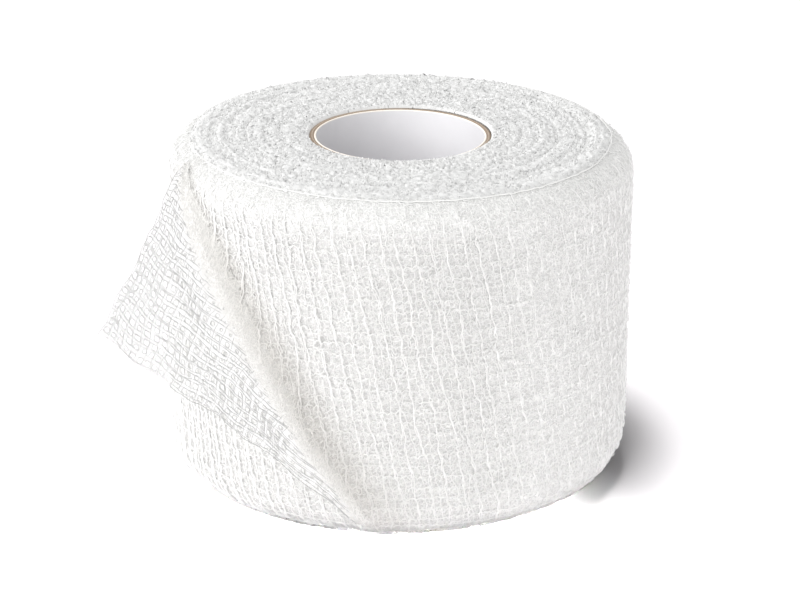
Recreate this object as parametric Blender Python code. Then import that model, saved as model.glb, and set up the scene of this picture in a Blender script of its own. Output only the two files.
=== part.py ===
"""A roll of gauze bandage standing on end, with the upper corner of its loose end peeled back.

Metres, +Z up. The origin is on the floor under the middle of the part's box. The roll's own
axis stands AXIS_X to the right of it and AXIS_Y behind it, because the loose end reaches out
to the left and to the front. Azimuths go round the roll's axis: 0 faces the front, -Y, and
positive ones turn to the right.
"""

import math

import bmesh
import bpy
from mathutils import Vector

MM = 0.001

# The roll
ROLL_RADIUS = 40.0 * MM
STRIP_WIDTH = 60.0 * MM  # the bandage's width is the roll's height
TOP_RIM = 6.3 * MM  # mean radius of the rounded upper edge
TOP_RIM_LEAN = 0.8 * MM  # how much rounder the upper edge is at the back than the mean
FOOT_RIM = 8.2 * MM  # mean radius of the rounded lower edge
FOOT_RIM_LEAN = 1.0 * MM  # how much rounder the lower edge is on the right than the mean
WINDING_SWELL = 0.2 * MM  # the winding is this much out of round
SWELL_PITCH = 18.0 * MM  # height over which the swell drifts round the roll
ROLL_STEPS = 96

# The core
TUBE_RADIUS = 15.6 * MM
TUBE_WALL = 0.5 * MM
LINER_WALL = 0.35 * MM
CORE_RECESS = 0.6 * MM  # the core ends this far inside the gauze at both ends
CORE_STEPS = 72
GAP = 0.3 * MM  # between pieces that touch

# The top face: how far some of the wound turns sit below the highest ones
TURN_DRIFT = 5.0 * MM  # radius over which the deepest side of a turn drifts round
TOP_TURNS = (
    # radius, drop
    (31.6 * MM, 0.30 * MM),
    (29.8 * MM, 0.05 * MM),
    (27.0 * MM, 0.25 * MM),
    (24.0 * MM, 0.00 * MM),
    (20.5 * MM, 0.20 * MM),
    (17.6 * MM, 0.05 * MM),
)

# The loose end: a sheet that comes round the roll from the left, turns over at a slanting
# crease and hangs back to the left. Each row is one section across it, from the crease out
# to its free edge. The first table runs from the root at the rim to the free corner, along
# the woven edge, and the second one from that corner along the cut end to the lower root.
CLOTH = 1.0 * MM  # thickness
FOLD_RADIUS = 0.8 * MM  # of the cloth's middle, where it turns over
LIP = 6.0 * MM  # how far the cloth under the flap is modelled
LIP_SHARE = 0.6  # of the flap's width, where that is less
WOVEN_EDGE = (
    # crease azimuth, crease height, edge azimuth, edge radius, edge height
    (-67.0, 57.9 * MM, -68.6, 41.3 * MM, 57.2 * MM),
    (-62.8, 56.2 * MM, -68.2, 42.4 * MM, 52.4 * MM),
    (-58.4, 53.4 * MM, -68.5, 44.6 * MM, 47.4 * MM),
    (-53.5, 50.0 * MM, -69.3, 48.0 * MM, 40.4 * MM),
    (-48.5, 46.2 * MM, -71.3, 53.2 * MM, 29.4 * MM),
)
CUT_END = (
    # crease azimuth, crease height, edge azimuth, edge radius, edge height
    (-48.5, 46.2 * MM, -71.3, 53.2 * MM, 29.4 * MM),
    (-42.0, 40.6 * MM, -59.5, 48.4 * MM, 25.2 * MM),
    (-35.2, 33.8 * MM, -46.6, 45.6 * MM, 22.4 * MM),
    (-28.3, 26.0 * MM, -34.6, 43.7 * MM, 18.0 * MM),
    (-21.0, 17.6 * MM, -25.0, 42.7 * MM, 13.9 * MM),
    (-13.4, 10.0 * MM, -15.8, 42.2 * MM, 9.0 * MM),
    (-8.0, 4.7 * MM, -9.2, 41.4 * MM, 4.9 * MM),
)
WOVEN_STEPS = 12
CUT_STEPS = 20
FOLD_STEPS = 6
FLAP_STEPS = 9
CREASE_SLOPE = math.radians(55.0)  # the crease's fall, read on the unrolled side
FLAP_BELLY = 0.34  # how long the flap keeps its first direction, as a share of its width
FLAP_LIFT = 0.10  # how far it lifts off the roll over that length, as a share of its width
EDGE_WAVE = 0.35 * MM  # the cut end's waviness
EDGE_WAVES = 5  # how many waves the cut end has
CRUMPLE = 0.45 * MM  # height of the small folds below the upper root
CRUMPLE_FOLDS = 1.5  # how many of them lie side by side

# Where the roll's axis stands, so that the part's box is centred on the origin
AXIS_X = (CUT_END[0][3] * math.sin(math.radians(-CUT_END[0][2])) + CLOTH / 2 - ROLL_RADIUS) / 2
AXIS_Y = 1.0 * MM

GAUZE_COLOUR = (0.92, 0.92, 0.90, 1.0)
TUBE_COLOUR = (0.60, 0.44, 0.30, 1.0)
LINER_COLOUR = (0.86, 0.86, 0.90, 1.0)


def material(name, colour, roughness):
    made = bpy.data.materials.new(name)
    made.use_nodes = True
    shader = made.node_tree.nodes["Principled BSDF"]
    shader.inputs["Base Color"].default_value = colour
    shader.inputs["Roughness"].default_value = roughness
    shader.inputs["Metallic"].default_value = 0.0
    return made


def place(name, mesh_data, finish, smooth_under=40):
    """Stands a finished mesh on the roll's axis, as an object of its own."""
    mesh = bpy.data.meshes.new(name)
    mesh_data.to_mesh(mesh)
    mesh_data.free()
    mesh.shade_smooth()
    mesh.set_sharp_from_angle(angle=math.radians(smooth_under))
    mesh.materials.append(finish)
    piece = bpy.data.objects.new(name, mesh)
    bpy.context.scene.collection.objects.link(piece)
    piece.location = (AXIS_X, AXIS_Y, 0.0)
    return piece


def outward(azimuth):
    return Vector((math.sin(azimuth), -math.cos(azimuth), 0.0))


def foot_rim(azimuth):
    return FOOT_RIM + FOOT_RIM_LEAN * math.sin(azimuth)


def top_rim(azimuth):
    return TOP_RIM - TOP_RIM_LEAN * math.cos(azimuth)


def swell(azimuth, height):
    """How far the winding stands out of its true radius, nothing at the floor."""
    two_lobes = math.sin(2 * azimuth + 0.7)
    three_lobes = math.sin(3 * azimuth - 1.1 + height / SWELL_PITCH)
    return WINDING_SWELL * (0.6 * two_lobes + 0.4 * three_lobes) * min(1.0, height / FOOT_RIM)


def rim_point(azimuth, centre_height, rim, turn):
    """(radius, height) on a rounded edge, at an angle above the horizontal."""
    height = centre_height + rim * math.sin(turn)
    radius = ROLL_RADIUS - rim + rim * math.cos(turn) + swell(azimuth, height)
    return radius, height


def on_side(azimuth, height, lift):
    """A point this far outside the roll's side, and the side's outward direction there."""
    low, rim = foot_rim(azimuth), top_rim(azimuth)
    high = STRIP_WIDTH - rim
    if height < low:
        turn = math.asin(max(-1.0, (height - low) / low))
        radius, _ = rim_point(azimuth, low, low, turn)
    elif height > high:
        turn = math.asin(min(1.0, (height - high) / rim))
        radius, _ = rim_point(azimuth, high, rim, turn)
    else:
        turn = 0.0
        radius = ROLL_RADIUS + swell(azimuth, height)
    out = outward(azimuth) * math.cos(turn) + Vector((0.0, 0.0, math.sin(turn)))
    return outward(azimuth) * radius + Vector((0.0, 0.0, height)) + out * lift, out


def ring_solid(profile_of, steps):
    """A closed ring whose section at each azimuth is profile_of(azimuth), a loop of (radius, height)."""
    made = bmesh.new()
    loops = []
    for step in range(steps):
        azimuth = 2 * math.pi * step / steps
        section = profile_of(azimuth)
        loops.append([made.verts.new(outward(azimuth) * r + Vector((0.0, 0.0, z))) for r, z in section])
    for step in range(steps):
        near, far = loops[step], loops[(step + 1) % steps]
        for i in range(len(near)):
            j = (i + 1) % len(near)
            made.faces.new((near[i], near[j], far[j], far[i]))
    bmesh.ops.recalc_face_normals(made, faces=made.faces[:])
    return made


def gauze_section(azimuth):
    """The wound gauze's section: bore, foot, lower edge, side, upper edge and top."""
    bore = TUBE_RADIUS + GAP
    low, rim = foot_rim(azimuth), top_rim(azimuth)
    high = STRIP_WIDTH - rim
    section = [(bore, STRIP_WIDTH - CORE_RECESS / 2), (bore, STRIP_WIDTH / 2), (bore, 0.0)]
    section.append(((bore + ROLL_RADIUS - low) / 2, 0.0))
    for turn in (-90, -75, -60, -45, -30, -15, 0):
        section.append(rim_point(azimuth, low, low, math.radians(turn)))
    for share in (0.2, 0.4, 0.6, 0.8):
        height = low + (high - low) * share
        section.append((ROLL_RADIUS + swell(azimuth, height), height))
    for turn in (0, 16, 33, 50, 68, 88):
        section.append(rim_point(azimuth, high, rim, math.radians(turn)))
    for radius, drop in TOP_TURNS:
        deepest_side = 0.5 + 0.5 * math.sin(azimuth + radius / TURN_DRIFT)
        section.append((radius, STRIP_WIDTH - drop * deepest_side))
    return section


def tube_section(outer, wall):
    inner, top, bottom = outer - wall, STRIP_WIDTH - CORE_RECESS, CORE_RECESS
    return lambda azimuth: [(inner, top), (inner, bottom), (outer, bottom), (outer, top)]


def between_rows(rows, share):
    """A row of the table at this share of its length, on a smooth curve through the rows."""
    last = len(rows) - 2
    i = min(int(share * (len(rows) - 1)), last)
    t = share * (len(rows) - 1) - i
    row = []
    for before, start, end, after in zip(rows[max(i - 1, 0)], rows[i], rows[i + 1], rows[min(i, last - 1) + 2]):
        start_slope = (end - before) / (2 if i else 1)
        end_slope = (after - start) / (2 if i < last else 1)
        cubic = 2 * start - 2 * end + start_slope + end_slope
        square = 3 * end - 3 * start - 2 * start_slope - end_slope
        row.append(((cubic * t + square) * t + start_slope) * t + start)
    return row


def bezier(start, start_handle, end_handle, end, t):
    s = 1 - t
    return start * s**3 + start_handle * (3 * s * s * t) + end_handle * (3 * s * t * t) + end * t**3


def lip_line(crease, height, length, lift):
    """The cloth under the flap, from its hidden end to the crease."""
    line = []
    for share in (1.0, 0.5):
        back = length * share
        azimuth = crease - back * math.sin(CREASE_SLOPE) / ROLL_RADIUS
        line.append(on_side(azimuth, height - back * math.cos(CREASE_SLOPE), lift)[0])
    return line


def fold_line(base, right, out):
    """The half turn at the crease, round its middle."""
    line = []
    for step in range(FOLD_STEPS + 1):
        angle = math.pi * (step / FOLD_STEPS - 0.5)
        line.append(base + (right * math.cos(angle) + out * math.sin(angle)) * FOLD_RADIUS)
    return line


def flap_line(top, right, out, edge, crumple):
    """The flap, from the top of the fold to its free edge."""
    reach = (edge - top).length
    start_handle = top + (out * FLAP_LIFT - right * FLAP_BELLY) * reach
    end_handle = edge + (top - edge) * FLAP_BELLY
    line = []
    for step in range(1, FLAP_STEPS + 1):
        t = step / FLAP_STEPS
        ridges = math.sin(t * 2 * math.pi * CRUMPLE_FOLDS) * (1 - t)
        line.append(bezier(top, start_handle, end_handle, edge, t) + out * (crumple * ridges))
    return line


def cloth_section(row, crumple, wave):
    """The cloth's middle line across one section: lip, fold and flap."""
    crease, height, lift = math.radians(row[0]), row[1], GAP + CLOTH / 2
    base, out = on_side(crease, height, lift + FOLD_RADIUS)
    level = Vector((math.cos(crease), math.sin(crease), 0.0))
    right = level * math.sin(CREASE_SLOPE) + out.cross(level) * math.cos(CREASE_SLOPE)
    top = base + out * FOLD_RADIUS
    edge = outward(math.radians(row[2])) * row[3] + Vector((0.0, 0.0, row[4])) + out * wave
    lip = lip_line(crease, height, min(LIP, (edge - top).length * LIP_SHARE), lift)
    return lip + fold_line(base, right, out) + flap_line(top, right, out, edge, crumple)


def loose_end_sheet():
    """The loose end's middle surface, as an open grid from the upper root to the lower one."""
    lines = []
    for step in range(WOVEN_STEPS + 1):
        share = step / WOVEN_STEPS
        lines.append(cloth_section(between_rows(WOVEN_EDGE, share), CRUMPLE * (1 - share), 0.0))
    for step in range(1, CUT_STEPS + 1):
        share = step / CUT_STEPS
        wave = EDGE_WAVE * math.sin(2 * math.pi * EDGE_WAVES * share) * (1 - share)
        lines.append(cloth_section(between_rows(CUT_END, share), 0.0, wave))
    made = bmesh.new()
    grid = [[made.verts.new(point) for point in line] for line in lines]
    for near, far in zip(grid, grid[1:]):
        for i in range(len(near) - 1):
            made.faces.new((near[i], near[i + 1], far[i + 1], far[i]))
    bmesh.ops.recalc_face_normals(made, faces=made.faces[:])
    return made


def wound_gauze(finish):
    return place("wound_gauze", ring_solid(gauze_section, ROLL_STEPS), finish)


def loose_end(finish):
    piece = place("loose_end", loose_end_sheet(), finish)
    thickness = piece.modifiers.new("cloth", "SOLIDIFY")
    thickness.thickness = CLOTH
    thickness.offset = 0.0
    return piece


def core_tube(finish):
    return place("core_tube", ring_solid(tube_section(TUBE_RADIUS, TUBE_WALL), CORE_STEPS), finish)


def core_liner(finish):
    outer = TUBE_RADIUS - TUBE_WALL - GAP
    return place("core_liner", ring_solid(tube_section(outer, LINER_WALL), CORE_STEPS), finish)


def main():
    for old in list(bpy.data.objects):
        bpy.data.objects.remove(old)
    gauze = material("gauze", GAUZE_COLOUR, 0.9)
    wound_gauze(gauze)
    loose_end(gauze)
    core_tube(material("core_cardboard", TUBE_COLOUR, 0.85))
    core_liner(material("core_paper", LINER_COLOUR, 0.6))


main()
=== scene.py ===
"""Looks of the gauze bandage roll: open-weave elastic gauze wound on a cardboard core.

Metres, +Z up, in the part's own frame. Every piece stands on the roll's axis, so its object
coordinates start there. Azimuths go round that axis: 0 faces the front, -Y, and positive
ones turn to the right. A strip place is (round, across): the distance round the roll at its
full radius, and the distance up its side, measured over the rounded edges from the floor.
"""

import math

import bpy
import numpy as np
from mathutils import Matrix, Vector


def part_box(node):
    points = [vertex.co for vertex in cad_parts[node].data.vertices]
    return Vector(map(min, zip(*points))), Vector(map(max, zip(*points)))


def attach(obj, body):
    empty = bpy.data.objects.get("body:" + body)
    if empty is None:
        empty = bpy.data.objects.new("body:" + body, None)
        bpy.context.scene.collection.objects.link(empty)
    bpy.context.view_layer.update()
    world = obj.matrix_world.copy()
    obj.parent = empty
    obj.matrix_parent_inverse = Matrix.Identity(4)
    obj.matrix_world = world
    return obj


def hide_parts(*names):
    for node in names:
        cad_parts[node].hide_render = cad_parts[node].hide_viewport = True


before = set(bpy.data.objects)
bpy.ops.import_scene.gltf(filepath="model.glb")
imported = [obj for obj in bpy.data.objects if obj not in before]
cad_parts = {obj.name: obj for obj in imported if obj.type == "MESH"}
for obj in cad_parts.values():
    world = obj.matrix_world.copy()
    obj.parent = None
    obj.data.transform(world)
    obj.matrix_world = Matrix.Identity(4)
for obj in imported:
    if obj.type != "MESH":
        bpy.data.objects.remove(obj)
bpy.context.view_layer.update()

MM = 0.001
WEAVE_SEED, FACE_SEED, LOOSE_END_SEED = 11, 23, 37

# The roll, as in the part's source
ROLL_RADIUS = 40.0 * MM
STRIP_WIDTH = 60.0 * MM
TOP_RIM = 6.3 * MM
TOP_RIM_LEAN = 0.8 * MM
FOOT_RIM = 8.2 * MM
FOOT_RIM_LEAN = 1.0 * MM
WINDING_SWELL = 0.2 * MM
SWELL_PITCH = 18.0 * MM
TURN_DRIFT = 5.0 * MM
TOP_TURNS = (
    # radius, drop
    (31.6 * MM, 0.30 * MM),
    (29.8 * MM, 0.05 * MM),
    (27.0 * MM, 0.25 * MM),
    (24.0 * MM, 0.00 * MM),
    (20.5 * MM, 0.20 * MM),
    (17.6 * MM, 0.05 * MM),
)
AROUND = 2 * math.pi * ROLL_RADIUS

# The core
TUBE_RADIUS = 15.6 * MM
TUBE_WALL = 0.8 * MM  # the board, and the gap that the solids leave inside it
LINER_RADIUS = 14.8 * MM
LINER_WALL = 0.35 * MM
CORE_RECESS = 0.6 * MM
GAP = 0.3 * MM

# The loose end, as in the part's source but for the first row, which lies nearer to the rim
WOVEN_EDGE = (
    # crease azimuth, crease height, edge azimuth, edge radius, edge height
    (-68.6, 58.4 * MM, -69.2, 39.2 * MM, 58.2 * MM),
    (-62.8, 56.2 * MM, -68.2, 42.4 * MM, 52.4 * MM),
    (-58.4, 53.4 * MM, -68.5, 44.6 * MM, 47.4 * MM),
    (-53.5, 50.0 * MM, -69.3, 48.0 * MM, 40.4 * MM),
    (-48.5, 46.2 * MM, -71.3, 53.2 * MM, 29.4 * MM),
)
CUT_END = (
    # crease azimuth, crease height, edge azimuth, edge radius, edge height
    (-48.5, 46.2 * MM, -71.3, 53.2 * MM, 29.4 * MM),
    (-42.0, 40.6 * MM, -59.5, 48.4 * MM, 25.2 * MM),
    (-35.2, 33.8 * MM, -46.6, 45.6 * MM, 22.4 * MM),
    (-28.3, 26.0 * MM, -34.6, 43.7 * MM, 18.0 * MM),
    (-21.0, 17.6 * MM, -25.0, 42.7 * MM, 13.9 * MM),
    (-13.4, 10.0 * MM, -15.8, 42.2 * MM, 9.0 * MM),
    (-8.0, 4.7 * MM, -9.2, 41.4 * MM, 4.9 * MM),
)
CREASE_SLOPE = math.radians(55.0)
FLAP_BELLY = 0.34
FLAP_LIFT = 0.10
CRUMPLE = 0.45 * MM
CRUMPLE_FOLDS = 1.5

# Where the outer turn rises off the roll and folds over to become the loose end
FOLD_STAND = (
    # height, how far the fold stands off the roll, how far its right flank reaches
    (0.0 * MM, 0.2 * MM, 4.0 * MM),
    (4.7 * MM, 0.8 * MM, 4.4 * MM),
    (10.0 * MM, 1.6 * MM, 4.2 * MM),
    (17.6 * MM, 2.2 * MM, 3.6 * MM),
    (33.8 * MM, 2.5 * MM, 2.8 * MM),
    (46.2 * MM, 2.0 * MM, 2.2 * MM),
    (53.4 * MM, 1.1 * MM, 1.6 * MM),
    (57.9 * MM, 0.3 * MM, 1.2 * MM),
    (60.0 * MM, 0.1 * MM, 1.0 * MM),
)
LEFT_FLANK = 0.9 * MM
HOLLOW = 0.92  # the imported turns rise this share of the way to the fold
FULL_SHADE = 2.5 * MM  # where the fold stands this far off, the painted shade on the gauze beside it is darkest
SHADE_MIDDLE = 1.5 * MM  # from the crease to the darkest line
LEFT_SHADE = 1.7 * MM  # how far the shade reaches to the left of that line
RIGHT_SHADE = 1.15  # and to its right, as a share of the fold's right flank
FULL_STAND = 1.5 * MM  # where it stands off less than this, the cloth goes less far past the crease
COVER = 0.36 * MM  # from the lifted turn up to the loose end's cloth, at the crease
TUCK = 2.2 * MM  # how far past the crease the folded cloth goes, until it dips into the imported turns
TUCK_DEPTH = 0.12 * MM  # and how far into them
FOLD_SHADE = 0.45  # the fibres on the folded cloth get at least this much painted shade

# The imported turns, below the outer one
SHELL_DEPTH = 0.30 * MM  # how far they lie inside the outer turn
WORN_DEPTH = 0.07 * MM  # and how far where it is worn
RIM_DEPTH = 0.04 * MM  # and at the upper edge, where the weave is drawn together

# The weave on the roll
CROSS_THREADS = 188  # near-upright threads round the roll, every second one thicker
LONG_PITCH = 1.87 * MM  # between the threads that run round the roll
SLANT = 0.20  # how far the cross threads drift to the right for each unit of fall
SELVEDGE_TURN = math.radians(68.0)  # where the outer turn ends on the rounded upper edge
FOOT_TURN = math.radians(76.0)  # and on the rounded lower edge
WORN_MIDDLE = math.radians(75.0)  # the azimuth in the middle of the worn part
WORN_FULL = math.radians(36.0)  # how far to each side the weave is quite rubbed flat
WORN_END = math.radians(62.0)  # and where it starts to stand out
WORN_SINK = 0.14 * MM  # how far the threads lie in the nap there
RIM_SINK = 0.17 * MM  # and along the upper edge
PALE_RIM = 52.0 * MM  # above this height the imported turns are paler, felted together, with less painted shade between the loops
PAINTED_FOOT_LIGHT = 3.0 * MM  # and below this one, where they roll under, they get painted light against the shade there
RIM_FADE = 7.0 * MM  # the weave sinks over this length below the upper edge

low_corner, high_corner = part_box("core_tube")
AXIS = Vector(((low_corner[0] + high_corner[0]) / 2, (low_corner[1] + high_corner[1]) / 2, 0.0))


# ---------------------------------------------------------------- the roll's surface


def outward(azimuth):
    """Level unit vectors away from the roll's axis."""
    return np.stack([np.sin(azimuth), -np.cos(azimuth), np.zeros_like(azimuth)], axis=-1)


def rightward(azimuth):
    """Level unit vectors to the right, as seen from outside."""
    return np.stack([np.cos(azimuth), np.sin(azimuth), np.zeros_like(azimuth)], axis=-1)


def upward(height):
    """Vectors of these heights."""
    level = np.zeros_like(height)
    return np.stack([level, level, height], axis=-1)


def unit(vectors):
    return vectors / (np.linalg.norm(vectors, axis=1, keepdims=True) + 1e-12)


def smooth(share):
    """Shares from 0 to 1, eased at both ends."""
    return share * share * (3 - 2 * share)


def foot_rim(azimuth):
    return FOOT_RIM + FOOT_RIM_LEAN * np.sin(azimuth)


def top_rim(azimuth):
    return TOP_RIM - TOP_RIM_LEAN * np.cos(azimuth)


def swell(azimuth, height):
    """How far the winding stands out of its true radius, nothing at the floor."""
    two_lobes = np.sin(2 * azimuth + 0.7)
    three_lobes = np.sin(3 * azimuth - 1.1 + height / SWELL_PITCH)
    return WINDING_SWELL * (0.6 * two_lobes + 0.4 * three_lobes) * np.minimum(1.0, height / FOOT_RIM)


def from_turn(azimuth, centre_height, rim, turn, lift):
    """Points on the side or a rounded edge, lifted off it, and the outward directions there."""
    height = centre_height + rim * np.sin(turn)
    radius = ROLL_RADIUS - rim + rim * np.cos(turn) + swell(azimuth, height)
    out = outward(azimuth) * np.cos(turn)[..., None] + upward(np.sin(turn))
    return outward(azimuth) * radius[..., None] + upward(height) + out * np.asarray(lift)[..., None], out


def on_side(azimuth, height, lift):
    """Points of the roll's side at these heights, and the outward directions there."""
    azimuth, height = np.broadcast_arrays(np.asarray(azimuth, float), np.asarray(height, float))
    low, rim = foot_rim(azimuth), top_rim(azimuth)
    high = STRIP_WIDTH - rim
    below, above = height < low, height > high
    turn = np.where(below, np.arcsin(np.clip((height - low) / low, -1, 0)), 0.0)
    turn = np.where(above, np.arcsin(np.clip((height - high) / rim, 0, 1)), turn)
    centre_height = np.where(below, low, np.where(above, high, height))
    return from_turn(azimuth, centre_height, np.where(below, low, np.where(above, rim, 0.0)), turn, lift)


CREASE_LINE = np.array([row[:2] for row in (*WOVEN_EDGE, *CUT_END[1:])])[::-1]  # from the foot up


def beyond_crease(around, height):
    """How far a place on the roll is to the right of the crease, square to it."""
    crease = np.interp(height, CREASE_LINE[:, 1], np.radians(CREASE_LINE[:, 0])) * ROLL_RADIUS
    return ((around - crease + AROUND / 2) % AROUND - AROUND / 2) * math.sin(CREASE_SLOPE)


def fold_form(height):
    """How far the fold stands off the roll, and how far its right flank reaches."""
    heights, stands, flanks = np.array(FOLD_STAND).T
    return np.interp(height, heights, stands), np.interp(height, heights, flanks)


def fold_rise(away, height):
    """How far the outer turn stands off the roll, this far to the right of the crease."""
    stand, flank = fold_form(height)
    return stand * np.exp(-((away / np.where(away < 0, LEFT_FLANK, flank)) ** 2))


def painted_fold_shade(points):
    """How much painted shade points get beside the fold, 0 to 1: a darker, warmer colour where the fold's
    shade falls.
    """
    away = beyond_crease(np.arctan2(points[:, 0], -points[:, 1]) * ROLL_RADIUS, points[:, 2]) - SHADE_MIDDLE
    stand, flank = fold_form(points[:, 2])
    reach = np.where(away < 0, LEFT_SHADE, RIGHT_SHADE * flank)
    on_the_side = np.hypot(points[:, 0], points[:, 1]) > ROLL_RADIUS - FOOT_RIM
    return np.sqrt(stand / FULL_SHADE) * np.exp(-((away / reach) ** 2)) * on_the_side


def worn(azimuth):
    """How far the weave is rubbed into a plain nap, 1 on the roll's right."""
    away = np.abs((azimuth - WORN_MIDDLE + math.pi) % (2 * math.pi) - math.pi)
    return smooth(np.clip((WORN_END - away) / (WORN_END - WORN_FULL), 0, 1))


def felted_sink(around, across):
    """How far the weave sinks in where it is worn, and towards the upper edge."""
    azimuth = around / ROLL_RADIUS
    below_rim = (strip_ends(azimuth)[1] - across) / RIM_FADE
    return np.maximum(WORN_SINK * worn(azimuth), RIM_SINK * np.clip(1 - below_rim, 0, 1))


def on_strip(around, across, lift, rise=1.0):
    """Points of the roll's side at these strip places, and the outward directions there. They rise
    this share of the way to the fold."""
    around, across = np.broadcast_arrays(around, across)
    azimuth = around / ROLL_RADIUS
    low, rim = foot_rim(azimuth), top_rim(azimuth)
    side_start, side_end = strip_ends(azimuth, 0.0, 0.0)
    below, above = across < side_start, across > side_end
    turn = np.where(below, across / low - math.pi / 2, np.where(above, (across - side_end) / rim, 0.0))
    centre_height = np.where(below, low, np.where(above, STRIP_WIDTH - rim, low + across - side_start))
    rim_here = np.where(below, low, np.where(above, rim, 0.0))
    height = centre_height + rim_here * np.sin(turn)
    away = beyond_crease(around, height)
    return from_turn(azimuth, centre_height, rim_here, turn, lift + rise * fold_rise(away, height))


def strip_ends(azimuth, foot_turn=FOOT_TURN, top_turn=SELVEDGE_TURN):
    """Where the outer turn, or a strip that goes this far round the rounded edges, starts and ends."""
    low, rim = foot_rim(azimuth), top_rim(azimuth)
    end = low * math.pi / 2 + STRIP_WIDTH - low - rim + rim * top_turn
    return low * (math.pi / 2 - foot_turn), end


def top_height(azimuth, radius):
    """The height of the top face."""
    height = np.full(np.shape(radius), STRIP_WIDTH)
    radii = [TUBE_RADIUS] + [turn_radius for turn_radius, _ in reversed(TOP_TURNS)] + [ROLL_RADIUS - TOP_RIM]
    drops = [CORE_RECESS / 2] + [drop for _, drop in reversed(TOP_TURNS)] + [0.0]
    deepest_side = 0.5 + 0.5 * np.sin(azimuth + radius / TURN_DRIFT)
    height = height - np.interp(radius, radii, drops) * deepest_side
    rim = top_rim(azimuth)
    past = np.clip(radius - (ROLL_RADIUS - rim), 0.0, rim)
    return height - (rim - np.sqrt(rim**2 - past**2))


# ---------------------------------------------------------------- threads


def wander(rng, along, *waves, period=None):
    """Smooth random levels along a line, the sum of waves. Each wave is its spacing and its size: a
    new level at every spacing, within its size of 0."""
    total = 0.0
    for spacing, size in waves:
        if period is None:
            count = int(np.ptp(along) / spacing) + 3
            place = (along - along.min()) / spacing
        else:
            count = round(period / spacing)
            place = along / period * count
        levels = rng.uniform(-size, size, count)
        before = np.floor(place).astype(int)
        share = smooth(place - before)
        total = total + (levels[before % count] * (1 - share) + levels[(before + 1) % count] * share)
    return total


class Threads:
    """Thin yarns, each along its own line, gathered for one mesh. A round yarn is a closed tube of
    three sides. One that lies on the cloth is a ridge: its two upper sides."""

    def __init__(self, round_yarn=False):
        self.round_yarn = round_yarn
        self.points = []
        self.faces = []
        self.count = 0

    def add(self, line, out, radius, closed=False):
        """A thread along line. out points away from the cloth, and radius may vary along it."""
        if closed:
            along = np.roll(line, -1, axis=0) - np.roll(line, 1, axis=0)
        else:
            along = np.gradient(line, axis=0)
        side = unit(np.cross(along, out))
        up = unit(np.cross(side, along))
        angles = np.radians([-30, 90, 210])
        radius = np.broadcast_to(radius, len(line))[:, None, None]
        spokes = side[:, None] * np.cos(angles)[:, None] + up[:, None] * np.sin(angles)[:, None]
        self.points.append((line[:, None] + spokes * radius).reshape(-1, 3))
        rings = np.arange(len(line)) * 3 + self.count
        near, far = (rings, np.roll(rings, -1)) if closed else (rings[:-1], rings[1:])
        for k in range(3 if self.round_yarn else 2):
            after = (k + 1) % 3
            self.faces.append(np.stack([near + k, far + k, far + after, near + after], axis=1))
        if self.round_yarn and not closed:
            corners = np.arange(3)
            caps = np.array([rings[0] + corners, rings[-1] + corners[::-1]])
            self.faces.append(np.concatenate([caps, caps[:, -1:]], axis=1))
        self.count += len(line) * 3

    def mesh(self):
        return np.concatenate(self.points), np.concatenate(self.faces)

    def lay(self, name, finish, shares=None):
        """Makes the gathered threads a piece of the gauze, darker with painted shade beside the fold."""
        points, faces = self.mesh()
        points[:, 2] = np.maximum(points[:, 2], CLEAR_OF_FLOOR)
        if shares is None:
            shares = painted_fold_shade(points)
        return piece(name, points, faces, finish, "gauze", shares=shares)


CLEAR_OF_FLOOR = 0.02 * MM
SHARES = "share"  # the name of the numbers that a mesh may carry at its points


def in_scene(name, data):
    """A new object of the scene."""
    made = bpy.data.objects.new(name, data)
    bpy.context.scene.collection.objects.link(made)
    return made


def piece(name, points, faces, finish, slot, replaces=(), shares=None):
    """A piece that stands on the roll's axis and rides with the part. A face that names a point
    twice is a triangle. shares are numbers at the points, which the finish may read."""
    mesh = bpy.data.meshes.new(name)
    lists = [[*dict.fromkeys(face)] for face in (faces if isinstance(faces, list) else faces.tolist())]
    mesh.from_pydata(points.tolist(), [], lists)
    mesh.shade_smooth()
    if shares is not None:
        numbers = mesh.attributes.new(SHARES, "FLOAT", "POINT")
        numbers.data.foreach_set("value", np.asarray(shares, dtype=np.float32))
    mesh.materials.append(finish)
    made = in_scene(name, mesh)
    made.location = AXIS
    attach(made, "root")
    if replaces:
        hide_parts(*replaces)
    return made


# The outer turn's yarns. A wave is its spacing and its size, which is a share of the radius in a
# girth. A range is its least and most.
CROSS_FAMILIES = (
    # piece, first thread, strands, lift, radius
    ("thick_cross_threads", 0, 2, 0.02 * MM, 0.100 * MM),
    ("thin_cross_threads", 1, 1, -0.05 * MM, 0.075 * MM),
)
CROSS_STEP = 0.40 * MM  # between a thread's points
CROSS_PLAY = 0.2 * MM  # how far a thread is set out of place
CROSS_END_PLAY = 0.5 * MM  # and how far its upper end is
CROSS_SWAY = ((LONG_PITCH, 0.25 * MM), (9 * MM, 0.45 * MM))
CROSS_LIFT = (0.9 * MM, 0.10 * MM)
CROSS_GIRTH = (1.7 * MM, 0.3)
CRINKLE = (0.62 * MM, 0.22 * MM)
STRAND_PITCH = 0.17 * MM
CROSSING = 0.06 * MM  # how far a thread goes over and under the long ones

LONG_STEP = 0.22 * MM
LONG_RADIUS = 0.080 * MM
LONG_SWAY = ((12 * MM, 0.30 * MM), (0.9 * MM, 0.15 * MM))
LONG_LIFT = (1.6 * MM, 0.15 * MM)
LONG_GIRTH = (2 * MM, 0.3)
SPRING = 0.20 * MM  # how far a thread springs to the sides between the cross threads
SPRING_CHANGE = (2.4 * MM, 0.17 * MM)
SPRING_SHIFT = (5 * MM, 1.6)  # of the place where it springs, in radians
ARCH_HEIGHT = 1.5  # up and down, as a share of the spring
ARCH_LIFT = 0.35  # off the roll

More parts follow.
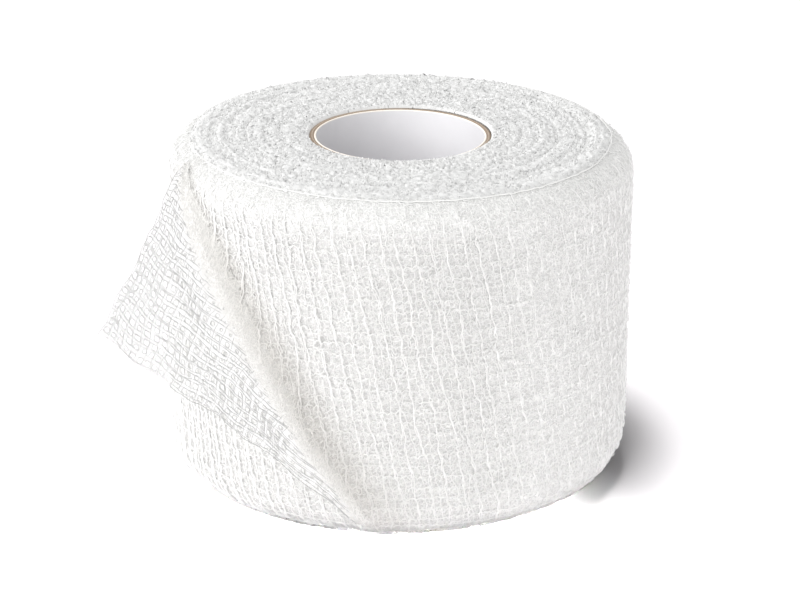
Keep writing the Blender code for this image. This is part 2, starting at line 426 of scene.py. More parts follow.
CURL_COUNT = 6800
CURL_STEPS = 8
CURL_BENDS = (0.24 * MM, 0.36 * MM, 0.55 * MM, 2.2 * MM)  # radii
CURL_ODDS = (0.35, 0.35, 0.18, 0.12)
BEND_RANGE = (0.8, 1.2)
CURL_LENGTHS = (0.9 * MM, 2.4 * MM)
MOST_SWEEP = 5.6  # radians
CURL_STRETCH = (0.6, 1.3)
CURL_SEAT = 0.05 * MM  # from the outer turn up to a curl's ends
CURL_ARCH = (0.03 * MM, 0.20 * MM)  # and from those to its middle
CURL_RADII = (0.05 * MM, 0.085 * MM)
CURLS_BEGIN = 1.0 * MM  # above the outer turn's lower end
CURLS_END = 1.2 * MM  # and past its upper one
FREE_OF_CURLS = (-3.0 * MM, 1.2 * MM)  # from the crease

# The turns' edges under the roll
FOOT_STEP = 0.6 * MM
FOOT_MARGINS = (0.5 * MM, 0.3 * MM)  # from the core and from the edge of the foot's face
FOOT_SWAY = ((0.8 * MM, 0.20 * MM), (9 * MM, 0.12 * MM))
FOOT_LIFT = (0.7 * MM, 0.15 * MM)
FOOT_GIRTH = (1.1 * MM, 0.35)
FOOT_DROP = 0.12 * MM  # how far they stand out of the foot's face
FOOT_EDGE_RADIUS = 0.13 * MM


def cross_threads(threads, rng, first, strands, depth, radius):
    """Every second near-upright thread, of crinkled strands, leaning to the right as it falls."""
    pitch = AROUND / CROSS_THREADS
    for i in range(first, CROSS_THREADS, 2):
        start, end = strip_ends(i * pitch / ROLL_RADIUS)
        start += rng.uniform(-CROSS_PLAY, CROSS_PLAY)
        end += rng.uniform(-CROSS_END_PLAY, CROSS_END_PLAY)
        across = np.linspace(start, end, int((end - start) / CROSS_STEP))
        path = i * pitch + rng.uniform(-CROSS_PLAY, CROSS_PLAY) + SLANT * (STRIP_WIDTH / 2 - across)
        path = path + wander(rng, across, *CROSS_SWAY)
        weaving = CROSSING * np.cos(math.pi * across / LONG_PITCH + math.pi * i)
        for strand in range(strands):
            around = path + wander(rng, across, CRINKLE) + (strand - (strands - 1) / 2) * STRAND_PITCH
            lift = depth + weaving + wander(rng, across, CROSS_LIFT)
            thickness = radius * (1 + wander(rng, across, CROSS_GIRTH))
            threads.add(*on_strip(around, across, lift - felted_sink(around, across)), thickness)


def long_threads(threads, rng):
    """The threads that run round the roll, sprung into arches and small loops between the cross threads."""
    around = np.linspace(0, AROUND, int(AROUND / LONG_STEP), endpoint=False)
    start, end = strip_ends(around / ROLL_RADIUS)
    count = int((end - start).min() / LONG_PITCH)
    for j in range(count + 1):
        spring = SPRING + wander(rng, around, SPRING_CHANGE, period=AROUND)
        phase = 2 * math.pi * around / AROUND * CROSS_THREADS
        phase = phase + wander(rng, around, SPRING_SHIFT, period=AROUND)
        level = start + (end - start) * j / count + spring * ARCH_HEIGHT * np.cos(phase)
        level = level + wander(rng, around, *LONG_SWAY, period=AROUND)
        lift = spring * ARCH_LIFT * np.cos(phase) + wander(rng, around, LONG_LIFT, period=AROUND)
        thickness = LONG_RADIUS * (1 + wander(rng, around, LONG_GIRTH, period=AROUND))
        lift = lift - felted_sink(around, level)
        threads.add(*on_strip(around + spring * np.sin(phase), level, lift), thickness, closed=True)


def curl(rng, bend, sweep):
    """A piece of a circle of this radius that starts anywhere: its steps from its middle, level and up."""
    angles = np.linspace(0, sweep, CURL_STEPS) + rng.uniform(0, 2 * math.pi)
    middle = angles[CURL_STEPS // 2]
    return bend * (np.cos(angles) - np.cos(middle)), bend * (np.sin(angles) - np.sin(middle))


def curls(threads, rng):
    """Sprung loops and stray fibres that stand off the outer turn."""
    for _ in range(CURL_COUNT):
        around = rng.uniform(0, AROUND)
        start, end = strip_ends(around / ROLL_RADIUS)
        across = rng.uniform(start + CURLS_BEGIN, end + CURLS_END)
        if FREE_OF_CURLS[0] < beyond_crease(around, across - start) < FREE_OF_CURLS[1]:
            continue
        bend = rng.choice(CURL_BENDS, p=CURL_ODDS) * rng.uniform(*BEND_RANGE)
        wide, tall = curl(rng, bend, min(rng.uniform(*CURL_LENGTHS) / bend, MOST_SWEEP))
        tall = across + tall * rng.uniform(*CURL_STRETCH)
        lift = CURL_SEAT + rng.uniform(*CURL_ARCH) * np.sin(np.linspace(0, math.pi, CURL_STEPS))
        threads.add(*on_strip(around + wide, tall, lift), rng.uniform(*CURL_RADII))


def laid(name, finish, add, *given):
    """A piece of the threads that add makes."""
    threads = Threads()
    add(threads, *given)
    return threads.lay(name, finish)


def foot_turns(threads, rng):
    """The edges of the wound turns under the roll: one spiral, ragged and looped, facing down."""
    inner, outer = TUBE_RADIUS + FOOT_MARGINS[0], FOOT_FACE - FOOT_MARGINS[1]
    length = math.pi * (inner + outer) * (outer - inner) / TURN_PITCH
    share = np.linspace(0, 1, int(length / FOOT_STEP))
    reach = np.sqrt(inner**2 + (outer**2 - inner**2) * share)
    azimuth = 2 * math.pi * (reach - inner) / TURN_PITCH
    along = share * length
    reach = reach + wander(rng, along, *FOOT_SWAY)
    line = outward(azimuth) * reach[:, None] + upward(FOOT_DEPTH - FOOT_DROP + wander(rng, along, FOOT_LIFT))
    out = np.broadcast_to([0.0, 0.0, -1.0], line.shape)
    threads.add(line, out, FOOT_EDGE_RADIUS * (1 + wander(rng, along, FOOT_GIRTH)))


# ---------------------------------------------------------------- the loose end


def between_rows(rows, share):
    """A row of the table at this share of its length, on a smooth curve through the rows."""
    last = len(rows) - 2
    i = min(int(share * (len(rows) - 1)), last)
    t = share * (len(rows) - 1) - i
    row = []
    neighbours = zip(rows[max(i - 1, 0)], rows[i], rows[i + 1], rows[min(i, last - 1) + 2])
    for before, start, end, after in neighbours:
        start_slope = (end - before) / (2 if i else 1)
        end_slope = (after - start) / (2 if i < last else 1)
        cubic = 2 * start - 2 * end + start_slope + end_slope
        square = 3 * end - 3 * start - 2 * start_slope - end_slope
        row.append(((cubic * t + square) * t + start_slope) * t + start)
    return row


class LooseEnd:
    """The loose end's middle surface. A cloth place is (x, y): 0, 0 at the free corner, x = 1 at
    the upper root, along the woven edge, and y = 1 at the lower root, along the cut end. The
    crease is the line x + y = 1, and beyond it the cloth turns over and lies on the roll."""

    WOVEN_ROWS = 40
    CUT_ROWS = 80
    HALVINGS = 28  # in the search for a place's row
    SMALL_STEP = 0.02  # along a section, to find its direction

    def __init__(self):
        rows = [between_rows(WOVEN_EDGE, i / self.WOVEN_ROWS) for i in range(self.WOVEN_ROWS)]
        rows += [between_rows(CUT_END, i / self.CUT_ROWS) for i in range(self.CUT_ROWS + 1)]
        rows = np.array(rows)
        crease, self.height = np.radians(rows[:, 0]), rows[:, 1]
        self.crease = crease
        stand, _ = fold_form(self.height)
        self.top, self.out = on_side(crease, self.height, stand + self.cover(stand))
        level = rightward(crease)
        fall = np.cross(self.out, level)
        self.right = level * math.sin(CREASE_SLOPE) + fall * math.cos(CREASE_SLOPE)
        self.edge = outward(np.radians(rows[:, 2])) * rows[:, 3:4] + upward(rows[:, 4])
        self.crumple = CRUMPLE * np.clip(1 - np.arange(len(rows)) / self.WOVEN_ROWS, 0, 1)
        self.crease_place = self.place_along(self.top)
        woven = self.place_along(self.edge[: self.WOVEN_ROWS + 1])
        cut = self.place_along(self.edge[self.WOVEN_ROWS :])
        self.woven_length, self.cut_length, self.crease_length = woven[-1], cut[-1], self.crease_place[-1]
        corner_x = np.concatenate([1 - woven / woven[-1], np.zeros(self.CUT_ROWS)])
        corner_y = np.concatenate([np.zeros(self.WOVEN_ROWS), cut / cut[-1]])
        self.free = np.stack([corner_x, corner_y], axis=-1)
        share = self.crease_place / self.crease_length
        self.fold = np.stack([1 - share, share], axis=-1)
        # from the free corner to the crease, square to it
        self.reach = self.woven_length * self.cut_length / math.hypot(self.woven_length, self.cut_length)

    @staticmethod
    def cover(stand):
        """How far the cloth lies above the lifted turn, less at the ends of the crease."""
        return np.minimum(COVER, 0.5 * stand)

    def width_at(self, place):
        """The flap's width, from the crease to the free edge, through each place."""
        row = self.row_of(place)
        return np.linalg.norm(self.between(self.edge, row) - self.between(self.top, row), axis=1)

    @staticmethod
    def place_along(line):
        """The distance of each point of a line from its start."""
        steps = np.linalg.norm(np.diff(line, axis=0), axis=1)
        return np.concatenate([[0.0], np.cumsum(steps)])

    @staticmethod
    def between(values, row):
        """Values at fractional rows."""
        before = np.clip(row.astype(int), 0, len(values) - 2)
        share = row - before
        if values.ndim > 1:
            share = share[:, None]
        return values[before] * (1 - share) + values[before + 1] * share

    def row_of(self, place):
        """The fractional row whose section passes through each cloth place."""
        low, high = np.zeros(len(place)), np.full(len(place), len(self.fold) - 1.0)
        for _ in range(self.HALVINGS):
            middle = (low + high) / 2
            fold, free = self.between(self.fold, middle), self.between(self.free, middle)
            run, to = free - fold, place - fold
            before = run[:, 0] * to[:, 1] - run[:, 1] * to[:, 0] < 0
            low, high = np.where(before, middle, low), np.where(before, high, middle)
        return (low + high) / 2

    def on_flap(self, place):
        """Points of the hanging flap and its outward directions, for places short of the crease."""
        row = self.row_of(place)
        fold, free = self.between(self.fold, row), self.between(self.free, row)
        span = np.linalg.norm(free - fold, axis=1)
        t = np.clip(np.linalg.norm(place - fold, axis=1) / np.maximum(span, 1e-6), 0, 1 + FRAY_SHARE)
        line = self.flap_at(row, t)
        before, after = np.clip(row - 0.5, 0, None), np.clip(row + 0.5, 0, len(self.fold) - 1)
        across = self.flap_at(row, t + self.SMALL_STEP) - self.flap_at(row, t - self.SMALL_STEP)
        out = unit(np.cross(self.flap_at(after, t) - self.flap_at(before, t), across))
        facing = np.sign((out * self.between(self.out, row)).sum(axis=1, keepdims=True))
        return line, out * np.where(facing == 0, 1, facing)

    def flap_at(self, row, t):
        """Points of the flap at fractional rows and shares of the way to the free edge."""
        top, edge = self.between(self.top, row), self.between(self.edge, row)
        out, right = self.between(self.out, row), self.between(self.right, row)
        reach = np.linalg.norm(edge - top, axis=1)[:, None]
        start_handle = top + (out * FLAP_LIFT - right * FLAP_BELLY) * reach
        end_handle = edge + (top - edge) * FLAP_BELLY
        ridges = np.sin(t * 2 * math.pi * CRUMPLE_FOLDS) * (1 - t) * self.between(self.crumple, row)
        t = t[:, None]
        s = 1 - t
        curve = top * s**3 + start_handle * (3 * s * s * t) + end_handle * (3 * s * t * t) + edge * t**3
        return curve + out * ridges[:, None]

    def past_crease(self, share, past):
        """Points of the turned-over cloth this far past the crease, and its outward directions."""
        row = np.interp(share, self.crease_place / self.crease_length, np.arange(len(self.fold)))
        height = self.between(self.height, row)
        stand, _ = fold_form(height)
        past = past * np.minimum(1, stand / FULL_STAND)
        azimuth = self.between(self.crease, row) + past * math.sin(CREASE_SLOPE) / ROLL_RADIUS
        rise = fold_rise(past, height)
        sunk_share = np.clip(past / TUCK, 0, 1) ** 1.5
        sunk_lift = rise * HOLLOW - SHELL_DEPTH - TUCK_DEPTH
        lift = (rise + self.cover(stand)) * (1 - sunk_share) + sunk_lift * sunk_share
        return on_side(azimuth, height + past * math.cos(CREASE_SLOPE), lift)

    def at(self, place, lift):
        """Points lifted off the cloth at any cloth places, and the outward directions there."""
        beyond = place.sum(axis=1) - 1
        inside = np.clip(place - np.clip(beyond, 0, None)[:, None] / 2, 0, 1)
        line, out = self.on_flap(np.where(beyond[:, None] > 0, inside, place))
        share = np.clip((1 - place[:, 0] + place[:, 1]) / 2, 0, 1)
        turned, turned_out = self.past_crease(share, np.clip(beyond, 0, None) * self.reach)
        past = (beyond > 0)[:, None]
        line, out = np.where(past, turned, line), np.where(past, turned_out, out)
        return line + out * np.asarray(lift)[..., None], out


FLAP_CROSS_PITCH = 1.60 * MM  # between the paired threads that run along the cut end
FLAP_LONG_PITCH = 1.75 * MM  # between the threads that run along the woven edge
PAIR = 0.55 * MM  # between the two threads of a pair
FLAP_STEP = 0.45 * MM  # between a thread's points
FLAP_PLAY = 0.06 * MM  # how far a thread is set out of place
FLAP_SWAY = ((1.1 * MM, 0.15 * MM), (6 * MM, 0.25 * MM))
FLAP_GIRTH = (5, 0.3)  # with its spacing in points
FLAP_LIFT_RANGE = (0.06 * MM, 0.07 * MM)  # a thread's middle height over the cloth, and its swing
THREAD_FLOOR = 0.3 * MM  # nothing of the flap goes below this height
OUTLINE_FLOOR = 0.4 * MM  # and no mesh below this one is outlined
MESH_OUTLINE = 0.058 * MM  # radius
OUTLINE_LIFT = 0.03 * MM
FELT_DEPTH = 0.25 * MM  # how far the threads are sunk at the fold
FELT_FADE = 2.2 * MM  # and over which distance from it they come up
FELT_FULL = 1.15  # the share of that depth that they would reach there, though it ends at 1
FRAY = 0.9 * MM  # how far loose ends stand out of the cut end
FRAY_SHARE = 0.15  # most that a thread runs past the free edge, as a share of its section
CLOSED = 0.4 * MM  # the cloth is closed this near to the fold
OPENED = 8.0 * MM  # and its meshes are fully open this far from it
LEAST_OPENED = 0.02  # a mesh less open than this is closed
OPENING = 0.62  # of a mesh, as a share of the pitch
OPENING_RANGE = (0.72, 1.14)  # times that
MESH_PLAY = 0.16  # how far a mesh is out of place, as a share of half the pitch
WHITER = 2.5  # how much sooner the cloth turns white than it opens
NARROW = 14 * MM  # where the flap is narrower than this, its meshes open nearer to the fold
LEAST_NARROW = 0.08  # and the least share of that width that counts
PLAIN_WIDTH = 5.5 * MM  # where it is narrower than this, it shows only the threads along its cut end
MESH_SIDE = 3  # points along a mesh's side
PULLS = (
    # how the cloth is pulled along each side: size, wave, how much that wave is shifted, by which wave
    (0.30 * MM, 1.9 * MM, 1.3, 2.3 * MM),
    (0.34 * MM, 1.6 * MM, 1.7, 2.9 * MM),
)
PULL_START = 2 * MM  # the pull is full this far from the free edges


def crooked(place, cloth):
    """Cloth places, pulled a little out of line as soft gauze is."""
    lengths = np.array([cloth.woven_length, cloth.cut_length])
    here = place * lengths
    other = here[:, ::-1]
    size, wave, shifted, shift_wave = np.array(PULLS).T
    pulled = size * np.sin(other / wave + shifted * np.sin(here / shift_wave))
    return place + pulled / lengths * np.clip(other / PULL_START, 0, 1)


def inland(place, cloth):
    """How far a place is from the fold, counting less where the flap is narrow."""
    narrow = np.clip(cloth.width_at(place) / NARROW, LEAST_NARROW, 1)
    return (1 - place.sum(axis=1)) * cloth.reach / narrow


def sunk(place, cloth):
    """How far the threads sink into the felted cloth, at the fold and past it."""
    return FELT_DEPTH * np.clip(FELT_FULL - inland(place, cloth) / FELT_FADE, 0, 1)


def flap_threads(threads, cloth, rng):
    """The paired threads along the flap's cut end, and the single ones along its woven edge."""
    woven, cut = cloth.woven_length, cloth.cut_length
    families = (
        # direction, the edge they are set along, the one they run along, the pitches on both,
        # the strands' places as shares of PAIR, radius
        (1, woven, cut, FLAP_CROSS_PITCH, FLAP_LONG_PITCH, (-0.5, 0.5), 0.078 * MM),
        (0, cut, woven, FLAP_LONG_PITCH, FLAP_CROSS_PITCH, (-0.3,), 0.055 * MM),
    )
    middle, swing = FLAP_LIFT_RANGE
    for direction, set_length, run_length, pitch, crossed, strands, radius in families:
        for i in range(int(set_length / pitch) + 1):
            for strand in strands:
                offset = (i * pitch + strand * PAIR + rng.uniform(-FLAP_PLAY, FLAP_PLAY)) / set_length
                if offset > 1:
                    continue
                fray = 0.0 if direction else rng.uniform(0, FRAY)
                first, last = -fray / run_length, 1 - offset
                run = np.linspace(first, last, int((last - first) * run_length / FLAP_STEP) + 2)
                along = run * run_length
                sway = offset + wander(rng, along, *FLAP_SWAY) / set_length
                place = np.stack([sway, run] if direction else [run, sway], axis=-1)
                if not direction and cloth.width_at(place[:1])[0] < PLAIN_WIDTH:
                    continue
                lift = middle + swing * np.cos(math.pi * (along / crossed + i + direction))
                line, out = cloth.at(crooked(place, cloth), lift - sunk(place, cloth))
                clear = line[:, 2] > THREAD_FLOOR
                line, out = line[clear], out[clear]
                threads.add(line, out, radius * (1 + wander(rng, np.arange(len(line)), FLAP_GIRTH)))


def mesh_ring(middle, half, size):
    """The rounded outline of one mesh of the net, as cloth places."""
    angles = math.pi * (np.arange(4 * MESH_SIDE) / (2 * MESH_SIDE) - 0.75)  # from the first corner
    spread = np.stack([np.cos(angles), np.sin(angles)], axis=-1)
    half_square = spread / np.abs(spread).max(axis=1, keepdims=True) * 0.5
    return middle + (half_square + spread * 0.56) * half * size


def flap_web(cloth, rng, painted_shade_outlines):
    """The flat yarns of the net, closed beside the fold and open round each mesh away from it."""
    half = np.array([FLAP_CROSS_PITCH / cloth.woven_length, FLAP_LONG_PITCH / cloth.cut_length]) / 2
    end = 1 + TUCK / cloth.reach
    side = range(MESH_SIDE)
    ring = [(u, 0) for u in side] + [(MESH_SIDE, v) for v in side]
    ring += [(MESH_SIDE - u, MESH_SIDE) for u in side] + [(0, MESH_SIDE - v) for v in side]
    places, faces, known = [], [], {}

    def opened(place):
        return (inland(place, cloth) - CLOSED) / (OPENED - CLOSED)

    def grid(u, v):
        if (u, v) not in known:
            known[u, v] = len(places)
            places.append(np.array([u, v]) * 2 * half / MESH_SIDE)
        return known[u, v]

    for i in range(int(end / half[0] / 2) + 1):
        for j in range(int(end / half[1] / 2) + 1):
            middle = np.array([2 * i + 1, 2 * j + 1]) * half
            if (middle - half).sum() > end or middle.max() > 1 + half.min():
                continue
            u, v = i * MESH_SIDE, j * MESH_SIDE
            opened_here = opened(middle[None])[0]
            if opened_here < LEAST_OPENED:
                for a in range(u, u + MESH_SIDE):
                    for b in range(v, v + MESH_SIDE):
                        faces.append([grid(a, b), grid(a + 1, b), grid(a + 1, b + 1), grid(a, b + 1)])
                continue
            outer = [grid(u + a, v + b) for a, b in ring]
            size = OPENING * min(1.0, opened_here) ** 0.5 * rng.uniform(*OPENING_RANGE)
            hole = mesh_ring(middle + rng.uniform(-MESH_PLAY, MESH_PLAY, 2) * half, half, size)
            first = len(places)
            places += list(hole)
            for k in range(len(ring)):
                after = (k + 1) % len(ring)
                faces.append([outer[k], outer[after], first + after, first + k])
            # each open mesh is ringed with a thin thread of the dark yarn: painted shade at its edge
            line, out = cloth.at(crooked(hole, cloth), OUTLINE_LIFT - sunk(hole, cloth))
            if line[:, 2].min() > OUTLINE_FLOOR and cloth.width_at(hole).min() > PLAIN_WIDTH:
                painted_shade_outlines.add(line, out, MESH_OUTLINE, closed=True)
    places = crooked(np.array(places), cloth)
    places -= np.clip(places.sum(axis=1, keepdims=True) - end, 0, None) / 2
    points, _ = cloth.at(places, 0.0)
    points[:, 2] = np.maximum(points[:, 2], THREAD_FLOOR)
    return points, faces, np.clip(WHITER * opened(np.clip(places, 0, 1)), 0, 1)


# ---------------------------------------------------------------- finishes


class Value:
    """A socket that Python's operators work on, by adding Math nodes."""

    def __init__(self, finish, socket):
        self.finish = finish
        self.socket = socket

    def __add__(self, other):
        return self.finish.maths("ADD", self, other)

    def __radd__(self, other):
        return self.finish.maths("ADD", other, self)

    def __sub__(self, other):
        return self.finish.maths("SUBTRACT", self, other)

    def __rsub__(self, other):
        return self.finish.maths("SUBTRACT", other, self)

    def __mul__(self, other):
        return self.finish.maths("MULTIPLY", self, other)

    def __rmul__(self, other):
        return self.finish.maths("MULTIPLY", other, self)

    def __truediv__(self, other):
        return self.finish.maths("DIVIDE", self, other)


class Finish:
    """One material, and the nodes that vary it over a surface."""

    def __init__(self, name, colour, roughness):
        self.material = bpy.data.materials.new(name)
        self.material.use_nodes = True
        self.tree = self.material.node_tree
        self.shader = self.tree.nodes["Principled BSDF"]
        self.put(self.shader.inputs["Base Color"], (*colour, 1.0))
        self.put(self.shader.inputs["Roughness"], roughness)

    def put(self, socket, value):
        if isinstance(value, Value):
            self.tree.links.new(value.socket, socket)
        else:
            socket.default_value = value

    def node(self, kind, settings, sockets, output=0):
        """Adds a node: its settings first, then the values or links of its sockets."""
        made = self.tree.nodes.new(kind)
        for name, value in settings.items():
            setattr(made, name, value)
        for name, value in sockets.items():
            self.put(made.inputs[name], value)
        return Value(self, made.outputs[output])

    def maths(self, operation, *values):
        return self.node("ShaderNodeMath", {"operation": operation}, dict(enumerate(values)))

    def vectors(self, operation, *values, output=0):
        return self.node("ShaderNodeVectorMath", {"operation": operation}, dict(enumerate(values)), output)

    def place(self):
        """The place on the piece, from the roll's axis."""
        return self.node("ShaderNodeTexCoord", {}, {}, "Object")

    def share(self):
        """The numbers that the mesh carries at its points."""
        return self.node("ShaderNodeAttribute", {"attribute_name": SHARES}, {}, "Fac")

    def height(self, place):
        return self.node("ShaderNodeSeparateXYZ", {}, {0: place}, "Z")

    def radius(self, place):
        """The distance from the roll's axis."""
        level = self.vectors("MULTIPLY", place, (1.0, 1.0, 0.0))
        return self.vectors("LENGTH", level, output="Value")

    def above_none(self, value):
        return self.maths("MAXIMUM", value, 0.0)

    def band(self, value, middle, half_width):
        """1 where the value is at the middle, falling to 0 at half the width from it."""
        return self.above_none(1 - self.maths("ABSOLUTE", value - middle) / half_width)

    def noise(self, place, size, detail=2.0, roughness=0.5, output=0):
        """Soft noise from 0 to 1 whose lumps are about this size."""
        sockets = {"Vector": place, "Scale": 1 / size, "Detail": detail, "Roughness": roughness}
        return self.node("ShaderNodeTexNoise", {}, sockets, output)

    def tangle(self, place, size):
        """A net of crooked pale lines, 1 on a line and 0 between, with meshes of about this size."""
        nudge = self.noise(place, size / 1.3, 1.0, output="Color")
        bent = self.vectors("MULTIPLY_ADD", nudge, (0.7 * size,) * 3, place)
        edges = {"feature": "DISTANCE_TO_EDGE"}
        edge = self.node("ShaderNodeTexVoronoi", edges, {"Vector": bent, "Scale": 1 / size})
        return self.node(
            "ShaderNodeMapRange", {"interpolation_type": "SMOOTHSTEP"},
            {"Value": edge, "From Min": 0.02, "From Max": 0.22, "To Min": 1.0, "To Max": 0.0},
        )

    def mixed(self, share, first, second):
        """A colour between two, at this share of the way."""
        first, second = (c if isinstance(c, Value) else (*c, 1.0) for c in (first, second))
        sockets = {0: share, 6: first, 7: second}  # a mix node's sockets for its factor and two colours
        return self.node("ShaderNodeMix", {"data_type": "RGBA"}, sockets, 2)

    def dressed(self, colour, height, depth):
        """The material with this colour, and with relief of this depth from a height of 0 to 1."""
        bump = self.node("ShaderNodeBump", {}, {"Height": height, "Distance": depth, "Strength": 1.0})
        self.put(self.shader.inputs["Base Color"], colour)
        self.put(self.shader.inputs["Normal"], bump)
        return self.material


def cotton(name, light, dark, painted_shade_or_pale_tone):
    """White twisted yarn: mottled, matt, with a fine nap. It turns to the third colour with the share:
    painted shade beside the fold, and on the top face's loops a paler tone at random.
    """
    finish = Finish(name, light, 0.9)
    place = finish.place()
    yarn = finish.mixed(finish.noise(place, 3.0 * MM, 3.0), dark, light)
    nap = finish.noise(place, 0.12 * MM, 1.0)
    return finish.dressed(finish.mixed(finish.share(), yarn, painted_shade_or_pale_tone), nap, 0.03 * MM)


def flap_nap():
    """The flat soft yarns of the loose end, creamy and darker at the fold, partly painted shade, and whiter
    in the open net.
    """
    finish = Finish("flap_nap", (0.80, 0.795, 0.78), 0.95)
    place = finish.place()
    mottle = finish.noise(place, 1.2 * MM, 3.0, 0.6)
    tangle = finish.tangle(place, 0.45 * MM)
    # the fold's cream tone is darkened with painted shade, standing in for the hollows of the weave that the
    # smooth cloth lacks
    fold_cream_and_shade = finish.mixed(mottle * 0.5 + tangle * 0.5, (0.60, 0.592, 0.568), (0.72, 0.713, 0.69))
    in_net = finish.mixed(mottle, (0.74, 0.74, 0.735), (0.83, 0.83, 0.825))
    colour = finish.mixed(finish.share(), fold_cream_and_shade, in_net)
    return finish.dressed(colour, tangle * 0.6 + mottle * 0.4, 0.08 * MM)


def packed_gauze():
    """The turns below the outer one: a tangle of fine pale loops with painted shade of the deeper layers
    grey between them, less of it towards the upper edge, painted light at the foot, and darker and warmer
    painted shade beside the fold."""
    finish = Finish("packed_gauze", (0.84, 0.84, 0.83), 0.95)
    place = finish.place()
    tangle = finish.tangle(place, 0.75 * MM) * 0.5 + finish.tangle(place, 0.42 * MM) * 0.5
    mottle = finish.noise(place, 2.2 * MM, 3.0, 0.6)
    # less painted shade towards the upper edge, where the weave is drawn together
    rim = finish.above_none((finish.height(place) - PALE_RIM) / (STRIP_WIDTH - PALE_RIM))
    # painted light at the foot, against the shade under the lower edge
    foot = finish.above_none(1 - finish.height(place) / PAINTED_FOOT_LIGHT)
    pale = tangle * 0.75 + mottle * 0.35 + rim * 0.3 + foot * 0.6
    # the grey end is painted shade of the deeper layers between the pale loops
    gauze = finish.mixed(pale, (0.62, 0.62, 0.61), (0.96, 0.96, 0.945))
    # painted shade beside the fold, darker and warmer
    painted_shade_or_pale_tone = finish.mixed(pale, (0.58, 0.565, 0.535), (0.80, 0.785, 0.755))
    colour = finish.mixed(finish.share(), gauze, painted_shade_or_pale_tone)
    return finish.dressed(colour, tangle * 0.8 + mottle * 0.4, 0.22 * MM)


def brown_card():
    """Raw grey-brown tube board with its plies showing at the ends."""
    finish = Finish("brown_card", (0.40, 0.31, 0.235), 0.85)
    place = finish.place()
    flecks = finish.noise(place, 0.4 * MM, 3.0, 0.7)
    board = finish.mixed(flecks, (0.29, 0.215, 0.155), (0.44, 0.34, 0.26))
    ply = finish.band(finish.radius(place), TUBE_RADIUS - TUBE_WALL * 0.55, 0.09 * MM)
    colour = finish.mixed(ply, board, (0.68, 0.58, 0.48))
    return finish.dressed(colour, flecks * 0.5 + ply * 0.5, 0.06 * MM)


def white_paper():
    """The smooth lining paper, with the faintest clouding and a creamy cut edge. Its face is painted grey,
    as shade inside the bore.
    """
    finish = Finish("white_paper", (0.62, 0.613, 0.628), 0.55)
    place = finish.place()
    cloud = finish.noise(place, 6.0 * MM, 3.0, 0.6)
    # the face's grey is painted shade inside the bore
    face = finish.mixed(cloud, (0.56, 0.552, 0.568), (0.61, 0.603, 0.618))
    edge = finish.band(finish.height(place), STRIP_WIDTH - CORE_RECESS, 0.25 * MM)
    colour = finish.mixed(edge, face, (0.84, 0.78, 0.70))
    return finish.dressed(colour, finish.noise(place, 0.3 * MM), 0.01 * MM)


# ---------------------------------------------------------------- pieces


def quads(near, far):
    """The faces between neighbouring rings of points."""
    corners = [near, far, np.roll(far, -1, axis=1), np.roll(near, -1, axis=1)]
    return np.stack(corners, axis=-1).reshape(-1, 4)


def lathe(section_of, steps):
    """A closed ring whose section at each azimuth is section_of(azimuth), a loop of (radius, height)."""
    azimuths = 2 * math.pi * np.arange(steps) / steps
    sections = np.array([section_of(azimuth) for azimuth in azimuths])
    points = outward(azimuths)[:, None] * sections[..., 0:1] + upward(sections[..., 1])
    index = np.arange(steps * sections.shape[1]).reshape(steps, -1)
    return points.reshape(-1, 3), quads(index, np.roll(index, -1, axis=0))


SHELL_STEPS = 300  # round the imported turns
TOP_POINTS, BORE_POINTS, FOOT_POINTS, SIDE_POINTS = 24, 6, 7, 90
SHELL_TOP_DEPTH = 0.15 * MM  # below the felted top face
EDGE_GAP = 0.4 * MM  # from the end faces' points to the rounded edges
BORE_INSET = 3 * MM  # from the bore's ends to its first and last points
SIDE_INSET = 0.6 * MM  # from the rounded edges' ends to the side's first and last points
SHELL_FLOOR = 0.05 * MM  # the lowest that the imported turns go


def shell_section(azimuth):
    """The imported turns' section: top face, bore, foot, lower edge, side and upper edge."""
    low, rim = foot_rim(azimuth), top_rim(azimuth)
    bore = TUBE_RADIUS + GAP
    tops = np.linspace(ROLL_RADIUS - rim - EDGE_GAP, bore, TOP_POINTS)
    section = [(r, top_height(azimuth, r) - SHELL_TOP_DEPTH) for r in tops]
    section += [(bore, height) for height in np.linspace(STRIP_WIDTH - BORE_INSET, BORE_INSET, BORE_POINTS)]
    section += [(r, FOOT_DEPTH) for r in np.linspace(bore, FOOT_FACE, FOOT_POINTS)]
    section += [(ROLL_RADIUS - low - EDGE_GAP, SHELL_FLOOR)]
    _, full = strip_ends(azimuth, 0.0, math.pi / 2)
    across = np.linspace(SIDE_INSET, full - SIDE_INSET, SIDE_POINTS)
    flat = SHELL_DEPTH + (WORN_DEPTH - SHELL_DEPTH) * worn(azimuth)
    depth = np.interp(across, [full - rim * math.pi / 2 - 2 * MM, full - rim], [flat, RIM_DEPTH])
    line, _ = on_strip(azimuth * ROLL_RADIUS, across, -depth, HOLLOW)
    return section + [(math.hypot(x, y), max(z, SHELL_FLOOR)) for x, y, z in line]


def wound_gauze(finish):
    points, faces = lathe(shell_section, SHELL_STEPS)
    piece("packed_turns", points, faces, finish, "gauze", ["wound_gauze"], painted_fold_shade(points))


def outer_turn(yarn, fine_yarn):
    rng = np.random.default_rng(WEAVE_SEED)
    for name, *family in CROSS_FAMILIES:
        laid(name, yarn, cross_threads, rng, *family)
    laid("long_threads", yarn, long_threads, rng)
    laid("curled_fibres", fine_yarn, curls, rng)


# The end faces
FOOT_FACE = 29.5 * MM  # radius of the foot's face, inside the ring that the roll stands on
FOOT_DEPTH = 0.45 * MM  # its height above the floor
TURN_PITCH = 0.62 * MM  # between the wound turns, as they show on the end faces
TURN_KINDS = 64  # the turns' differences repeat after so many

